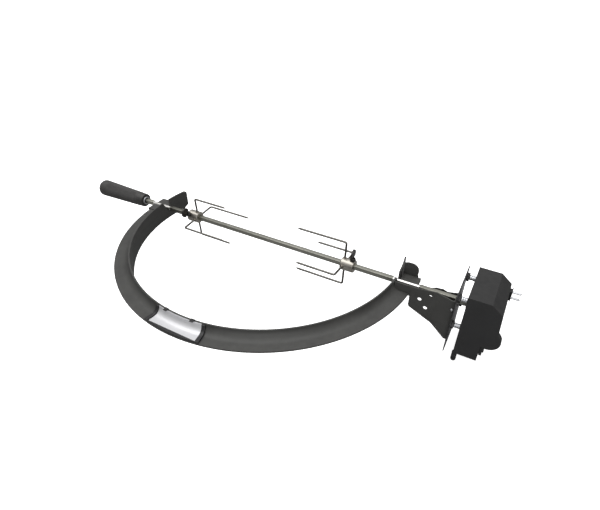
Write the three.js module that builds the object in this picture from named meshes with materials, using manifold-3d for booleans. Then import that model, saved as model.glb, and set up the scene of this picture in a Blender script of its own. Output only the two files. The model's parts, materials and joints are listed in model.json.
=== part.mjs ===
// Rotisserie kit for a round kettle-shaped charcoal grill.
// A half ring with a coved outer face sits on the grill's rim and carries a motor-driven spit.
// Millimetres. X runs along the spit towards the motor, Y towards the back of the grill, Z up.
// The origin is the centre of the ring, on the spit's axis.
import * as THREE from 'three';
import * as BufferGeometryUtils from 'three/addons/utils/BufferGeometryUtils.js';
import Module from 'manifold-3d';

const wasm = await Module();
wasm.setup();

// ---------------------------------------------------------------- driving dimensions
const GAP = 0.3;                    // clearance between faces that touch on the real object

const RING = {
  inner: 249.4, wall: 3, flange: 278.3,
  top: 16, bottom: -22.6, flangeTop: 1.5, flangeBottom: -1.5,
  coveRadius: 14, rimLand: 2.4, segments: 96,
  coveEnd: -25.3,                   // the cove stops here, the plain wall runs on to the back
  wallEnd: 53.5, endCorner: 6, endChamfer: 11,
};
const SLOT = { front: -13, back: 6, radius: 5 };
const SADDLE = { outer: 284, top: 1.5, bottom: -5.5, halfWidth: 22.7, groove: 4.3 };
const NAMEPLATE = {
  halfAngle: 9.2, thickness: 1.2, frameAngle: 10.6, frameThickness: 3.2, outer: 276.4,
  edge: -272.8,                     // the plate's lower edge is straight, at this Y
};

const SPIT = {
  size: 8, handleEnd: -340, motorEnd: 380, journal: 3.95,
  leftJournal: [-290, -243], rightJournal: [242.5, 288],
};
const GRIP = { start: -440, end: -312, startRadius: 17.3, endRadius: 13.8, bore: 6.2, boreDepth: 36 };
const FORK = {
  x: { left: -170.4, right: 153.5 }, turn: { left: 3.1, right: -5.3 },
  radius: 42.2, long: 97, short: 75.5, rod: 1.9, bend: 3.5, tip: 7,
  hubRadius: 11.5, hubNear: -5, hubFar: 19.5, bore: 8.7,
};
const THUMB_SCREW = {
  x: 15, shank: 2.5, height: 34, wingWidth: 19, wingThickness: 2.6,
  angle: { left: -51, right: 0 },
  seat: { left: 6, right: 4.4 },    // the left screw bears on the bar's edge, the right on a face
};

const BRACKET = {
  start: 279, fold: 321, flareEnd: 345, shieldFace: 350.1, sheet: 2,
  halfWidth: 25, flareHalfWidth: 33, flange: 13, holeRadius: 3.3,
};
const SHIELD = { x: 350.4, thickness: 1.5, halfWidth: 42.5, top: 41, bottom: -79, hole: 12, corner: 4 };
const STANDOFF = { y: 29, z: 27, radius: 4.2, nut: 7, nutLength: 4 };

const MOTOR = {
  x: 366, halfDepth: 42, top: 43, bottom: -73, wall: 2.6,
  flatTop: 400.5, slantEnd: 417.5, slantBottom: 29, outer: 420.5, outerBottom: -9,
  hump: { x: 409, z: -24, radius: 18.6, depth: 9 }, foot: 402, footTop: -43,
};
const GEARS = {
  output: { module: 1, teeth: 48 }, idlerPinion: { module: 1, teeth: 12 },
  idlerWheel: { module: 0.8, teeth: 40 }, rotorPinion: { module: 0.8, teeth: 10 },
};
const GEAR_X = {
  output: [372, 377], idlerPinion: [371.5, 378.4], idlerWheel: [378.4, 381.4], rotorPinion: [377.6, 382.4],
};
const IDLER = { y: 0, z: -30, axle: 1.9, bore: 2.2 };
const ROTOR = { y: 8, z: -30 - Math.sqrt(20 ** 2 - 8 ** 2), shaft: 2, magnet: 9, end: 398.8 };
const GEARBOX_PLATE = [387.1, 388.2];
const STATOR = { x: [391.3, 396.7], bore: 9.7, limb: [22.5, 28], window: 15.5, coil: 10.6 };
const INLET = { x: MOTOR.outer, y: 30, z: 17, pinSpacing: 11.2 };
const SWITCH = { x: MOTOR.foot, y: -30, z: -53 };

// ---------------------------------------------------------------- materials
const material = (color, roughness, metalness) =>
  () => new THREE.MeshStandardMaterial({ color, roughness, metalness });
const blackPaint = material(0x3b3b3a, 0.55, 0.2);
const stainless = material(0x9a9892, 0.3, 1);
const zinc = material(0xb6b7b8, 0.4, 1);
const brightPlate = material(0xd9dadb, 0.35, 0.9);
const blackSteel = material(0x1d1d1e, 0.5, 0.6);
const motorPlastic = material(0x38383a, 0.6, 0);
const gripPlastic = material(0x3c3b3a, 0.65, 0);
const switchPlastic = material(0x4a4a4c, 0.45, 0);
const copper = material(0xa8642f, 0.4, 0.9);
const laminations = material(0x6d6f72, 0.5, 0.9);
const nylon = material(0xd8d6cd, 0.6, 0);

// ---------------------------------------------------------------- geometry helpers
const rad = THREE.MathUtils.degToRad;

function toSolid(geometry) {
  const bare = geometry.clone();
  bare.deleteAttribute('normal');
  bare.deleteAttribute('uv');
  const merged = BufferGeometryUtils.mergeVertices(bare, 1e-4);
  return new wasm.Manifold(new wasm.Mesh({
    numProp: 3,
    vertProperties: new Float32Array(merged.attributes.position.array),
    triVerts: new Uint32Array(merged.index.array),
  }));
}

function toGeometry(solid) {
  const mesh = solid.getMesh();
  const geometry = new THREE.BufferGeometry();
  geometry.setAttribute('position', new THREE.BufferAttribute(mesh.vertProperties, 3));
  geometry.setIndex(new THREE.BufferAttribute(mesh.triVerts, 1));
  geometry.computeVertexNormals();
  return geometry;
}

const join = (...geometries) => toGeometry(geometries.map(toSolid).reduce((a, b) => a.add(b)));
const cut = (body, ...tools) => toGeometry(tools.map(toSolid).reduce((a, b) => a.subtract(b), toSolid(body)));
const common = (...geometries) => toGeometry(geometries.map(toSolid).reduce((a, b) => a.intersect(b)));

// A box between two corners.
function block([x0, y0, z0], [x1, y1, z1]) {
  const box = new THREE.BoxGeometry(x1 - x0, y1 - y0, z1 - z0);
  return box.translate((x0 + x1) / 2, (y0 + y1) / 2, (z0 + z1) / 2);
}

// A profile of [radius, height] points turned round the Z axis.
function turnedZ(profile, segments) {
  const points = profile.map(([r, h]) => new THREE.Vector2(r, h));
  return new THREE.LatheGeometry(points, segments).rotateX(Math.PI / 2);
}

// The same, turned round the X axis: the height runs along +X.
function turnedX(profile, segments = 24) {
  const points = profile.map(([r, h]) => new THREE.Vector2(r, h));
  return new THREE.LatheGeometry(points, segments).rotateZ(-Math.PI / 2);
}

const rodX = (radius, x0, x1, segments = 24) =>
  turnedX([[0, x0], [radius, x0], [radius, x1], [0, x1]], segments);

function outline(points, holes = []) {
  const shape = new THREE.Shape(points.map(([a, b]) => new THREE.Vector2(a, b)));
  for (const { x, y, radius } of holes) {
    shape.holes.push(new THREE.Path().absarc(x, y, radius, 0, 2 * Math.PI, true));
  }
  return shape;
}

const arc = (cx, cy, radius, from, to, steps) => Array.from({ length: steps + 1 }, (_, i) => {
  const angle = rad(from + ((to - from) * i) / steps);
  return [cx + radius * Math.cos(angle), cy + radius * Math.sin(angle)];
});

const extrude = (shape, depth, curveSegments = 10) =>
  new THREE.ExtrudeGeometry(shape, { depth, bevelEnabled: false, curveSegments });

// A shape drawn in (X, Y) that is extruded up from z0 to z1.
const plateZ = (shape, z0, z1) => extrude(shape, z1 - z0).translate(0, 0, z0);
// A shape drawn in (X, Z) that is extruded along Y from y0 to y1.
const plateY = (shape, y0, y1) => extrude(shape, y1 - y0).rotateX(Math.PI / 2).translate(0, y1, 0);
// A shape drawn in (Y, Z) that is extruded along X from x0 to x1.
const plateX = (shape, x0, x1) => extrude(shape, x1 - x0)
  .applyMatrix4(new THREE.Matrix4().makeBasis(
    new THREE.Vector3(0, 1, 0), new THREE.Vector3(0, 0, 1), new THREE.Vector3(1, 0, 0)))
  .translate(x0, 0, 0);

function roundedRectangle(x0, y0, x1, y1, r) {
  return [
    ...arc(x1 - r, y1 - r, r, 0, 90, 4), ...arc(x0 + r, y1 - r, r, 90, 180, 4),
    ...arc(x0 + r, y0 + r, r, 180, 270, 4), ...arc(x1 - r, y0 + r, r, 270, 360, 4),
  ];
}

const assembly = new THREE.Group();

function part(parent, name, geometry, makeMaterial) {
  const mesh = new THREE.Mesh(geometry, makeMaterial());
  mesh.name = name;
  parent.add(mesh);
  return mesh;
}

// ---------------------------------------------------------------- half ring and nameplate
const coveCentre = [RING.inner + RING.rimLand + RING.coveRadius, RING.flangeTop + RING.coveRadius];

// The cove's quarter circle at a given radius, from the flange up to the rim.
const cove = (radius) => arc(...coveCentre, radius, 270, 180, 7);

function buildRing() {
  const outerWall = RING.inner + RING.wall;
  const section = [
    [RING.inner, RING.bottom], [outerWall, RING.bottom], [outerWall, RING.flangeBottom],
    [RING.flange, RING.flangeBottom], [RING.flange, RING.flangeTop],
    ...cove(RING.coveRadius), [RING.inner + RING.rimLand, RING.top],
    [RING.inner, RING.top], [RING.inner, RING.bottom],
  ];
  const coved = common(
    turnedZ(section, RING.segments),
    block([-300, -300, -60], [300, RING.coveEnd, 60]),
  );
  const wallSection = [
    [RING.inner, RING.bottom], [outerWall, RING.bottom], [outerWall, RING.top],
    [RING.inner, RING.top], [RING.inner, RING.bottom],
  ];
  const corner = RING.endCorner;
  const wallOutline = outline([
    [RING.coveEnd - 1, RING.bottom - 1], [RING.wallEnd - RING.endChamfer, RING.bottom - 1],
    [RING.wallEnd - RING.endChamfer, RING.bottom], [RING.wallEnd, RING.bottom + RING.endChamfer * 0.6],
    ...arc(RING.wallEnd - corner, RING.top - corner, corner, 0, 90, 5),
    [RING.wallEnd - corner, RING.top + 1], [RING.coveEnd - 1, RING.top + 1],
  ]);
  const walls = common(turnedZ(wallSection, RING.segments), plateX(wallOutline, -300, 300));
  const slot = outline([
    [SLOT.back, RING.top + 1], [SLOT.front, RING.top + 1], [-SLOT.radius, 0],
    ...arc(0, 0, SLOT.radius, 190, 350, 8), [SLOT.radius, 0],
  ]);
  const ring = cut(join(coved, walls), plateX(slot, -300, 300));
  part(assembly, 'half_ring', ring, blackPaint);
}

// A strip that follows the cove, between two heights above its face, cut to an angle each side of
// the front.
function coveStrip(low, high, outerRadius, halfAngle) {
  const base = RING.flangeTop;
  const section = [
    ...cove(RING.coveRadius - low).reverse(), [outerRadius, base + low], [outerRadius, base + high],
    ...cove(RING.coveRadius - high),
  ];
  section.push(section[0]);
  const reach = 320;
  const wedge = outline([
    [0, 0], [-reach * Math.sin(rad(halfAngle)), -reach * Math.cos(rad(halfAngle))],
    [reach * Math.sin(rad(halfAngle)), -reach * Math.cos(rad(halfAngle))],
  ]);
  return common(turnedZ(section, RING.segments), plateZ(wedge, -60, 60));
}

function buildNameplate() {
  const { halfAngle, thickness, frameAngle, frameThickness, outer, edge } = NAMEPLATE;
  const behind = (y) => block([-60, y, -60], [60, -200, 60]);
  const plate = common(coveStrip(GAP, GAP + thickness, outer, halfAngle), behind(edge));
  part(assembly, 'nameplate', plate, brightPlate);
  const window = common(
    coveStrip(-1, frameThickness + 2, outer + GAP, halfAngle + 0.08),
    behind(edge - GAP),
  );
  const frame = cut(coveStrip(GAP, frameThickness, outer + 1.7, frameAngle), window);
  part(assembly, 'nameplate_frame', frame, blackSteel);
  for (const [side, angle] of [['left', -5.6], ['right', 5.6]]) {
    const clip = block([-3, 249.6, RING.top + GAP], [3, 256.4, RING.top + 1.6]);
    const mesh = part(assembly, `nameplate_clip_${side}`, clip, blackSteel);
    mesh.rotation.z = Math.PI + rad(angle);
  }
}

// ---------------------------------------------------------------- saddles and end plates
function buildSaddles() {
  const inner = RING.inner + RING.wall + GAP + 0.1;
  const groove = rodX(SADDLE.groove, inner - 5, SADDLE.outer + 20);
  const lead = block([inner - 5, -SADDLE.groove, 0], [SADDLE.outer + 20, SADDLE.groove, 10]);
  const saddle = () => cut(
    block([inner, -SADDLE.halfWidth, SADDLE.bottom], [SADDLE.outer, SADDLE.halfWidth, SADDLE.top]),
    groove, lead,
  );
  part(assembly, 'left_saddle', saddle(), blackPaint).rotation.z = Math.PI;
  part(assembly, 'right_saddle', saddle(), blackPaint);

  const front = -BRACKET.halfWidth;
  const sheet = BRACKET.sheet - GAP;
  const endPlate = outline([
    [inner, RING.flangeTop], [BRACKET.start - GAP, RING.flangeTop],
    [BRACKET.start - GAP, RING.top + 0.5], [inner, RING.top + 0.5],
  ]);
  part(assembly, 'right_end_plate', plateY(endPlate, front, front + sheet), blackPaint);

  const ear = outline([
    [inner, -14], [BRACKET.start - GAP, -14], [BRACKET.start - GAP, 1.5], [277.6, 4],
    [278, 12.5], ...arc(264.8, 12.2, 13.2, 5, 78, 6), [259, 25], [inner, 22.6],
  ]);
  part(assembly, 'right_rear_ear', plateY(ear, -front - BRACKET.sheet, -front), blackPaint);
}

// ---------------------------------------------------------------- motor bracket and heat shield
// The plan of a side plate: straight beside the spit, flared towards the shield, with a short
// straight lip and a flange turned in against the shield.
function bracketPlan() {
  const { start, fold, flareEnd, shieldFace, sheet, halfWidth, flareHalfWidth, flange } = BRACKET;
  return [
    [start, -halfWidth], [fold, -halfWidth], [flareEnd, -flareHalfWidth],
    [shieldFace, -flareHalfWidth], [shieldFace, -flareHalfWidth + flange],
    [shieldFace - sheet, -flareHalfWidth + flange], [shieldFace - sheet, -flareHalfWidth + sheet],
    [flareEnd + 0.3, -flareHalfWidth + sheet], [fold - 0.3, -halfWidth + sheet],
    [start, -halfWidth + sheet],
  ];
}

const frontBracketHoles = [[311.8, 12.2], [295.6, -3.3], [306.9, -17.1]];
const frontBracketOutline = [
  [279, -20], [280.5, -24], [284, -26], [318, -42.4], [344.5, -58], [347, -59], [352, -59], [352, 20.5],
  [321, 20.5], [286, 16.5], [279, 16.5],
];
const rearBracketOutline = [
  [279, -26], [352, -32], [352, -13], [330, -13], [322, -8], [311, -9], [300, -14], [279, -14],
];

function buildBracket() {
  const reach = 60;
  const holes = frontBracketHoles.map(([x, y]) => ({ x, y, radius: BRACKET.holeRadius }));
  const front = common(
    plateZ(outline(bracketPlan()), -80, 40),
    plateY(outline(frontBracketOutline, holes), -reach, 0),
  );
  part(assembly, 'bracket_front_plate', front, blackPaint);
  const rearPlan = bracketPlan().map(([x, y]) => [x, -y]).reverse();
  const rear = common(
    plateZ(outline(rearPlan), -80, 40),
    plateY(outline(rearBracketOutline), 0, reach),
  );
  part(assembly, 'bracket_rear_plate', rear, blackPaint);
  const screwPlaces = { front_upper: [-26, 8], front_lower: [-26, -50], rear: [26, -22] };
  for (const [place, [y, z]] of Object.entries(screwPlaces)) {
    const head = turnedX([[0, -2.2], [2.4, -2.2], [3.4, -1.2], [3.4, 0], [0, 0]], 16);
    const screw = part(assembly, `bracket_screw_${place}`, head, zinc);
    screw.position.set(BRACKET.shieldFace - BRACKET.sheet - GAP, y, z);
  }
  const lipScrew = turnedX([[0, -1.9], [1.8, -1.9], [2.5, -1], [2.5, 0], [0, 0]], 16)
    .rotateZ(Math.PI / 2);
  part(assembly, 'bracket_lip_screw', lipScrew, zinc)
    .position.set(BRACKET.flareEnd + 2.6, -BRACKET.flareHalfWidth - GAP, 4);
}

function buildShield() {
  const { x, thickness, halfWidth, top, bottom, hole, corner } = SHIELD;
  const shape = outline(
    roundedRectangle(-halfWidth, bottom, halfWidth, top, corner),
    [{ x: 0, y: 0, radius: hole }],
  );
  part(assembly, 'heat_shield', plateX(shape, x, x + thickness), zinc);
  const nutStart = x + thickness + GAP;
  const nutEnd = nutStart + STANDOFF.nutLength;
  for (const [end, y] of [['front', -STANDOFF.y], ['rear', STANDOFF.y]]) {
    for (const [level, z] of [['upper', STANDOFF.z], ['lower', -STANDOFF.z]]) {
      const nut = part(assembly, `shield_nut_${end}_${level}`,
        rodX(STANDOFF.nut, nutStart, nutEnd, 6), blackSteel);
      nut.position.set(0, y, z);
      const spacer = part(assembly, `motor_spacer_${end}_${level}`,
        rodX(STANDOFF.radius, nutEnd + GAP, MOTOR.x - GAP, 16), zinc);
      spacer.position.set(0, y, z);
    }
  }
}

// ---------------------------------------------------------------- motor
// The housing's side profile. inset shrinks it for the hollow inside.
function housingProfile(inset) {
  const { x, top, bottom, flatTop, slantEnd, slantBottom, outer, outerBottom, foot, footTop } = MOTOR;
  const open = inset > 0 ? x - 5 : x;
  return [
    [open, bottom + inset], [foot - inset, bottom + inset], [foot - inset, footTop - inset],
    [foot - inset + 1, footTop + 8], [outer - inset, outerBottom],
    [slantEnd - inset, slantBottom - inset / 2], [flatTop - inset / 2, top - inset],
    [open, top - inset],
  ];
}

function buildHousing() {
  const { halfDepth, wall, hump } = MOTOR;
  const shell = plateY(outline(housingProfile(0)), -halfDepth, halfDepth);
  const bump = plateY(
    outline(arc(hump.x, hump.z, hump.radius, 0, 345, 23)),
    -halfDepth, -halfDepth + hump.depth,
  );
  const hollow = plateY(outline(housingProfile(wall)), -halfDepth + wall, halfDepth - wall);
  const inletHole = block([INLET.x - 10, INLET.y - 5, INLET.z - 9], [INLET.x + 10, INLET.y + 5, INLET.z + 9]);
  const switchHole = block([SWITCH.x - 10, SWITCH.y - 8.3, SWITCH.z - 6.9],
    [SWITCH.x + 5, SWITCH.y + 8.3, SWITCH.z + 6.9]);
  const housing = cut(join(shell, bump), hollow, inletHole, switchHole);
  part(assembly, 'motor_housing', housing, motorPlastic);

  const edge = wall + GAP;
  const base = outline(
    [
      [-halfDepth + edge, MOTOR.bottom + edge], [halfDepth - edge, MOTOR.bottom + edge],
      [halfDepth - edge, MOTOR.top - edge], [-halfDepth + edge, MOTOR.top - edge],
    ],
    [{ x: 0, y: 0, radius: 9 }],
  );
  part(assembly, 'motor_base_plate', plateX(base, MOTOR.x, MOTOR.x + 2.2), blackSteel);

  const peg = turnedZ([[0, -19.3], [2.2, -19], [3.8, -17.4], [4.2, -15], [4.2, 0], [0, 0]], 16);
  part(assembly, 'locating_peg', peg, blackSteel).position.set(MOTOR.x + 2.6, -37.6, MOTOR.bottom - GAP);
}

function buildInletAndSwitch() {
  const body = join(
    block([0.3, -6.8, -9.8], [1.3, 6.8, 9.8]),
    block([-9, -4.6, -8.6], [1, 4.6, 8.6]),
  );
  const pinOffset = INLET.pinSpacing / 2;
  const pinHoles = [-pinOffset, pinOffset].map((z) => rodX(2.2, -6, 20, 16).translate(0, 0, z));
  const inlet = part(assembly, 'mains_inlet', cut(body, ...pinHoles), switchPlastic);
  inlet.position.set(INLET.x, INLET.y, INLET.z);
  for (const [name, z] of [['lower', -pinOffset], ['upper', pinOffset]]) {
    const pin = turnedX([[0, -5.7], [1.9, -5.7], [1.9, 13.4], [0.9, 14.6], [0, 14.6]], 16);
    const mesh = part(assembly, `inlet_pin_${name}`, pin, zinc);
    mesh.position.set(INLET.x, INLET.y, INLET.z + z);
  }
  const bezel = cut(
    join(block([0.3, -9.6, -8.4], [4.6, 9.6, 8.4]), block([-5.6, -8, -6.6], [1, 8, 6.6])),
    block([-4.1, -6.8, -5.6], [9, 6.8, 5.6]),
  );
  part(assembly, 'switch_bezel', bezel, motorPlastic).position.set(SWITCH.x, SWITCH.y, SWITCH.z);
  const rockerShape = outline([
    [-2.2, -2.4], [6.8, -4.1], [5, 0], [5.6, 4.1], [-2.2, 2.4],
  ]);
  const rocker = plateY(rockerShape, -6.4, 6.4);
  part(assembly, 'switch_rocker', rocker, switchPlastic).position.set(SWITCH.x, SWITCH.y, SWITCH.z);
}

// A spur gear's outline, drawn in (Y, Z), with slim teeth so that a meshed pair runs clear.
function gearOutline({ module, teeth }, phase, boreRadius) {
  const pitch = (module * teeth) / 2;
  const root = pitch - 1.25 * module;
  const tip = pitch + 0.85 * module;
  const step = 360 / teeth;
  const points = [];
  for (let i = 0; i < teeth; i += 1) {
    const centre = phase + i * step;
    points.push(
      [root, centre - 0.27 * step], [pitch, centre - 0.19 * step], [tip, centre - 0.08 * step],
      [tip, centre + 0.08 * step], [pitch, centre + 0.19 * step], [root, centre + 0.27 * step],
    );
  }
  const cartesian = points.map(([r, angle]) => [r * Math.cos(rad(angle)), r * Math.sin(rad(angle))]);
  return outline(cartesian, boreRadius ? [{ x: 0, y: 0, radius: boreRadius }] : []);
}

// The angle from straight down to the line from the idler to the rotor.
const towardsRotor = THREE.MathUtils.radToDeg(Math.atan2(ROTOR.y - IDLER.y, IDLER.z - ROTOR.z));

function buildGearbox() {
  const { output, idlerPinion, idlerWheel, rotorPinion } = GEARS;
  // The drive socket takes the spit's square end and carries the output gear.
  const socket = cut(
    turnedX([[0, 364], [8.6, 364], [8.6, 386.3], [5, 386.3], [5, 392], [0, 392]], 32),
    block([360, -4.4, -4.4], [382, 4.4, 4.4]),
  );
  part(assembly, 'drive_socket', socket, stainless);
  part(assembly, 'output_gear', plateX(gearOutline(output, 0, 8.9), ...GEAR_X.output), nylon);

  // Each pinion has a gap where the wheel that it meets has a tooth.
  const idlerPhase = 90 + 180 / idlerPinion.teeth;
  const cluster = join(
    plateX(gearOutline(idlerPinion, idlerPhase, 0), ...GEAR_X.idlerPinion),
    plateX(gearOutline(idlerWheel, towardsRotor - 90, 0), ...GEAR_X.idlerWheel),
  );
  const idler = part(assembly, 'idler_gear', cut(cluster, rodX(IDLER.bore, 360, 390, 16)), nylon);
  idler.position.set(0, IDLER.y, IDLER.z);
  const axle = part(assembly, 'idler_axle', rodX(IDLER.axle, 369, GEARBOX_PLATE[0] - GAP, 16), stainless);
  axle.position.set(0, IDLER.y, IDLER.z);

  const rotorPhase = towardsRotor + 90 + 180 / rotorPinion.teeth;
  const rotor = join(
    plateX(gearOutline(rotorPinion, rotorPhase, 0), ...GEAR_X.rotorPinion),
    rodX(ROTOR.shaft, GEAR_X.rotorPinion[1] - 1, ROTOR.end, 16),
    rodX(ROTOR.magnet, ...STATOR.x, 24),
  );
  part(assembly, 'motor_rotor', rotor, laminations).position.set(0, ROTOR.y, ROTOR.z);

  const plate = outline(
    [[-34, -60], [34, -60], [34, 20], [-34, 20]],
    [{ x: 0, y: 0, radius: 5.4 }, { x: ROTOR.y, y: ROTOR.z, radius: ROTOR.shaft + 0.5 }],
  );
  part(assembly, 'gearbox_plate', plateX(plate, ...GEARBOX_PLATE), zinc);
}

// The motor's laminated frame surrounds the rotor, and its top limb carries the coil.
function buildStator() {
  const [x0, x1] = STATOR.x;
  const [limbBottom, limbTop] = STATOR.limb;
  const shape = outline(
    roundedRectangle(-20, -19, 20, limbTop, 3),
    [{ x: 0, y: 0, radius: STATOR.bore }],
  );
  const window = block([x0 - 1, -9, STATOR.window], [x1 + 1, 9, limbBottom]);
  const core = part(assembly, 'stator_core', cut(plateX(shape, x0, x1), window), laminations);
  core.position.set(0, ROTOR.y, ROTOR.z);

  const middle = (x0 + x1) / 2;
  const halfCoil = STATOR.coil / 2;
  const winding = cut(
    block([middle - halfCoil, -7.5, limbBottom - 4.6], [middle + halfCoil, 7.5, limbTop + 4.6]),
    block([x0 - GAP, -8, limbBottom - GAP], [x1 + GAP, 8, limbTop + GAP]),
  );
  part(assembly, 'stator_coil', winding, copper).position.set(0, ROTOR.y, ROTOR.z);
}

// ---------------------------------------------------------------- spit, grip and forks
function buildSpit() {
  const half = SPIT.size / 2;
  const bar = (x0, x1) => block([x0, -half, -half], [x1, half, half]);
  const [leftStart, leftEnd] = SPIT.leftJournal;
  const [rightStart, rightEnd] = SPIT.rightJournal;
  const point = new THREE.CylinderGeometry(half * 0.7 * Math.SQRT2, half * Math.SQRT2, 5, 4, 1)
    .rotateY(Math.PI / 4).rotateZ(-Math.PI / 2).translate(SPIT.motorEnd - 2.5, 0, 0);
  const rod = join(
    bar(SPIT.handleEnd, leftStart), rodX(SPIT.journal, leftStart - 1, leftEnd + 1),
    bar(leftEnd, rightStart), rodX(SPIT.journal, rightStart - 1, rightEnd + 1),
    bar(rightEnd, SPIT.motorEnd - 5), point,
  );
  part(assembly, 'spit_rod', rod, stainless);

  const { start, end, startRadius, endRadius, bore, boreDepth } = GRIP;
  const rounding = arc(startRadius - 7, start + 8, 7, -84, 0, 6);
  const grip = turnedX([
    [0, start], ...rounding, [startRadius, start + 16], [endRadius + 0.4, end - 3],
    [endRadius, end - 1], [endRadius - 1, end], [bore, end], [bore, end - boreDepth],
    [0, end - boreDepth],
  ], 32);
  part(assembly, 'spit_grip', grip, gripPlastic);
  const ferrule = turnedX([
    [bore, end + GAP], [8.4, end + GAP], [8.4, end + 2], [7.8, end + 2.6], [bore, end + 2.6],
    [bore, end + GAP],
  ], 24);
  part(assembly, 'grip_ferrule', ferrule, zinc);
}

// A rod that leaves the hub, turns through a bend and runs along the spit to a sharp tip.
function tine(length) {
  const { radius, rod, bend, tip, hubRadius } = FORK;
  const foot = hubRadius + GAP;
  const strut = turnedZ([[0, foot], [rod, foot], [rod, radius - bend + 0.1], [0, radius - bend + 0.1]], 10);
  const elbowSection = new THREE.Shape().absarc(0, 0, rod, 0, 2 * Math.PI, false);
  const elbowPath = new THREE.CubicBezierCurve3(
    new THREE.Vector3(0, 0, radius - bend), new THREE.Vector3(0, 0, radius - bend * 0.45),
    new THREE.Vector3(-bend * 0.55, 0, radius), new THREE.Vector3(-bend, 0, radius),
  );
  const elbow = new THREE.ExtrudeGeometry(elbowSection, {
    steps: 6, bevelEnabled: false, curveSegments: 5, extrudePath: elbowPath,
  });
  const spike = turnedX([
    [0, bend - 0.1], [rod, bend - 0.1], [rod, length - tip], [0.35, length], [0, length],
  ], 10).rotateZ(Math.PI).translate(0, 0, radius);
  return join(strut, elbow, spike);
}

function buildFork(side) {
  const fork = new THREE.Group();
  fork.position.x = FORK.x[side];
  const mirrored = side === 'left';
  const { hubRadius, hubNear, hubFar, bore } = FORK;
  const half = bore / 2;
  const turn = mirrored ? Math.PI : 0;
  const hubBody = turnedX([
    [0, hubNear], [hubRadius - 1, hubNear], [hubRadius, hubNear + 1], [hubRadius, hubFar - 1],
    [hubRadius - 1, hubFar], [0, hubFar],
  ], 32);
  const squareBore = block([hubNear - 1, -half, -half], [hubFar + 1, half, half]);
  const screwHole = turnedZ([[0, 0], [3, 0], [3, 20], [0, 20]], 16);
  const screwAngle = rad(THUMB_SCREW.angle[side]);
  screwHole.rotateX(screwAngle).translate(THUMB_SCREW.x, 0, 0);
  part(fork, `${side}_fork_hub`, cut(hubBody, squareBore, screwHole).rotateZ(turn), stainless);
  const lengths = mirrored
    ? [FORK.short, FORK.long, FORK.short, FORK.long]
    : [FORK.long, FORK.short, FORK.long, FORK.short];
  lengths.forEach((length, index) => {
    const place = ['top', 'front', 'bottom', 'rear'][index];
    const mesh = part(fork, `${side}_tine_${place}`, tine(length).rotateZ(turn), stainless);
    mesh.rotation.x = rad(FORK.turn[side] + 90 * index);
  });
  const { x, shank, height, wingWidth, wingThickness } = THUMB_SCREW;
  const seat = THUMB_SCREW.seat[side];
  const stem = turnedZ([
    [0, seat], [shank, seat], [shank, 12.4], [5, 12.4], [5, 15.6], [3.4, 17.5], [0, 17.5],
  ], 20);
  const wing = outline([
    [-3.4, 15], [3.4, 15], [4.4, 18.6], ...arc(0, height - wingWidth / 2, wingWidth / 2, -35, 215, 10),
    [-4.4, 18.6],
  ]);
  const screw = join(stem, plateX(wing, -wingThickness / 2, wingThickness / 2));
  screw.rotateX(screwAngle).translate(x, 0, 0).rotateZ(turn);
  part(fork, `${side}_thumb_screw`, screw, zinc);
  assembly.add(fork);
}

buildRing();
buildNameplate();
buildSaddles();
buildBracket();
buildShield();
buildHousing();
buildInletAndSwitch();
buildGearbox();
buildStator();
buildSpit();
buildFork('left');
buildFork('right');

export default assembly;
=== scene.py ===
"""Visual model of a rotisserie kit for a round charcoal grill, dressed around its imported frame.

Sizes are in millimetres until a piece is completed, and each piece then lies in metres in the
frame's own place. X runs along the spit towards the motor, Y towards the back and Z up.
"""
import json
import logging
import math
from dataclasses import dataclass
from enum import Enum
from typing import Callable, Iterable, Optional, Sequence

import bmesh
import bpy
from mathutils import Matrix, Vector

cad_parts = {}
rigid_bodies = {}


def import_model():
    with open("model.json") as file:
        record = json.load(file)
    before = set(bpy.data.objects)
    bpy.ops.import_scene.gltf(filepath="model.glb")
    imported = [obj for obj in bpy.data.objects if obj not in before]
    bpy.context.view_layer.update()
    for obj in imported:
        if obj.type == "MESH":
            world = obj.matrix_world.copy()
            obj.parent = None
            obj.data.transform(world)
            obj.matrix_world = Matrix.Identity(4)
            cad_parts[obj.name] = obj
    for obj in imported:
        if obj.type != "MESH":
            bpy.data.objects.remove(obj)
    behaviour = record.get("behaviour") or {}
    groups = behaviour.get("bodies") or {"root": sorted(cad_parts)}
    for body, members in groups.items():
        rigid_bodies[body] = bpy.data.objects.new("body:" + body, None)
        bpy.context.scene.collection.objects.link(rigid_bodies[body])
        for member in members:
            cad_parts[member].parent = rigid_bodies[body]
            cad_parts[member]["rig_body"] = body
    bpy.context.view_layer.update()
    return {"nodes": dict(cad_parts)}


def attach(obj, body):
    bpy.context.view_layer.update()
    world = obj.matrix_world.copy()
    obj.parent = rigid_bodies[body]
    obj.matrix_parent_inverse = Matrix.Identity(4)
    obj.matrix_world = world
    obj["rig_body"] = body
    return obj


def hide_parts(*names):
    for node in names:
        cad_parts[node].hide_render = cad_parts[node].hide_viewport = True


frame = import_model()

MM = 0.001
MERGE_DISTANCE = 1e-4               # points nearer than this are one point, in millimetres
NODE_MERGE_DISTANCE = 2e-6          # the same for a node's own mesh, in metres
FLAT_ANGLE = 0.6                    # faces that turn less than this are one flat face, in degrees
SMOOTH_ANGLE = 34.0                 # edges that turn less than this are shaded smooth
LOG = logging.getLogger("rotisserie")
Colour = tuple[float, float, float]
Point = tuple[float, float]


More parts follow.
